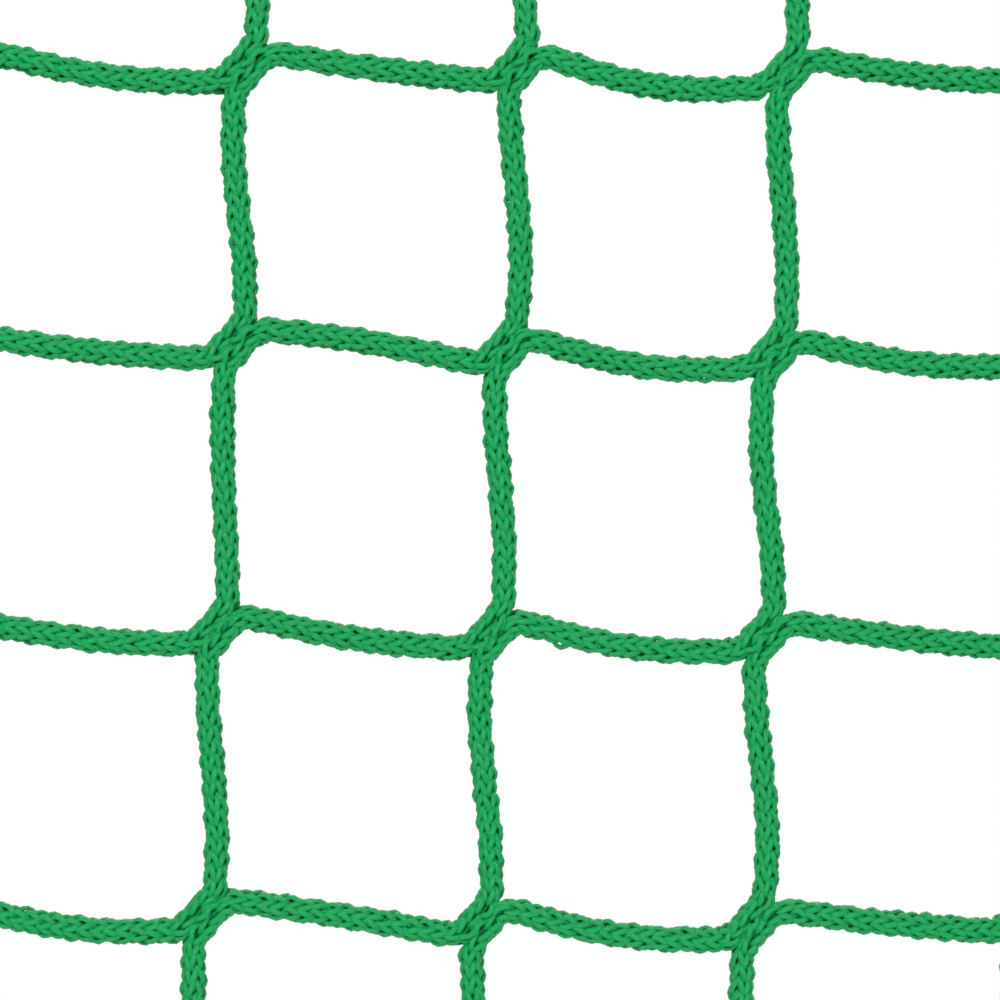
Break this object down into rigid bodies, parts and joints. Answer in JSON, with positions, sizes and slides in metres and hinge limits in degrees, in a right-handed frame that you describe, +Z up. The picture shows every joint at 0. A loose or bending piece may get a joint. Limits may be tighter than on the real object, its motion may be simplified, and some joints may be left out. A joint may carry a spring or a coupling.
{
  "type": "climbing net panel",
  "caption": "Green knitted knotless climbing net with square meshes, a lashed border rope and a round thimble in an eye at each corner; it hangs and folds in rows.",
  "frame": {"origin": "middle of the bore of the top left eye, halfway through the thimble", "axes": "+Z up along the hanging net, +X to the right as seen from the front, -Y out of the net's front"},
  "size_m": [0.364, 0.012, 0.42],
  "materials": {
    "netting": "bright green knitted polypropylene multifilament, soft sheen",
    "border_rope": "green braided polypropylene rope",
    "twine": "tight green twine, slightly darker than the net",
    "thimble": "cast and turned aluminium, satin"
  },
  "bodies": {
    "top_row": {"strand_row_1_step_2": "netting", "strand_row_1_step_3": "netting", "strand_row_1_step_4": "netting", "strand_row_1_step_5": "netting", "strand_row_1_step_6": "netting", "rope_top": "border_rope", "thimble_top_left": "thimble", "thimble_top_right": "thimble", "seizings_top_eyes": "twine", "lashings_row_1": "twine"},
    "row_2": {"strand_row_2_step_1": "netting", "strand_row_2_step_2": "netting", "strand_row_2_step_3": "netting", "strand_row_2_step_4": "netting", "strand_row_2_step_5": "netting", "strand_row_2_step_6": "netting", "rope_left_row_2": "border_rope", "rope_right_row_2": "border_rope", "lashings_row_2": "twine"},
    "row_3": {"strand_row_3_step_1": "netting", "strand_row_3_step_2": "netting", "strand_row_3_step_3": "netting", "strand_row_3_step_4": "netting", "strand_row_3_step_5": "netting", "strand_row_3_step_6": "netting", "rope_left_row_3": "border_rope", "rope_right_row_3": "border_rope", "lashings_row_3": "twine"},
    "row_4": {"strand_row_4_step_1": "netting", "strand_row_4_step_2": "netting", "strand_row_4_step_3": "netting", "strand_row_4_step_4": "netting", "strand_row_4_step_5": "netting", "strand_row_4_step_6": "netting", "rope_left_row_4": "border_rope", "rope_right_row_4": "border_rope", "lashings_row_4": "twine"},
    "row_5": {"strand_row_5_step_1": "netting", "strand_row_5_step_2": "netting", "strand_row_5_step_3": "netting", "strand_row_5_step_4": "netting", "strand_row_5_step_5": "netting", "strand_row_5_step_6": "netting", "rope_left_row_5": "border_rope", "rope_right_row_5": "border_rope", "lashings_row_5": "twine"},
    "bottom_row": {"strand_row_6_step_1": "netting", "strand_row_6_step_2": "netting", "strand_row_6_step_3": "netting", "strand_row_6_step_4": "netting", "strand_row_6_step_5": "netting", "rope_bottom": "border_rope", "thimble_bottom_left": "thimble", "thimble_bottom_right": "thimble", "seizings_bottom_eyes": "twine", "lashings_row_6": "twine", "end_whipping": "twine"}
  },
  "joints": [
    {"name": "fold_1", "type": "hinge", "parent": "top_row", "child": "row_2", "pos_m": [0.15435, 0, -0.07129], "axis": [1, 0, 0], "range_deg": [-50, 50]},
    {"name": "fold_2", "type": "hinge", "parent": "row_2", "child": "row_3", "pos_m": [0.15155, 0, -0.13249], "axis": [1, 0, 0], "range_deg": [-50, 50]},
    {"name": "fold_3", "type": "hinge", "parent": "row_3", "child": "row_4", "pos_m": [0.14874, 0, -0.19369], "axis": [1, 0, 0], "range_deg": [-50, 50]},
    {"name": "fold_4", "type": "hinge", "parent": "row_4", "child": "row_5", "pos_m": [0.14594, 0, -0.25489], "axis": [1, 0, 0], "range_deg": [-50, 50]},
    {"name": "fold_5", "type": "hinge", "parent": "row_5", "child": "bottom_row", "pos_m": [0.14314, 0, -0.31609], "axis": [1, 0, 0], "range_deg": [-50, 50]}
  ]
}
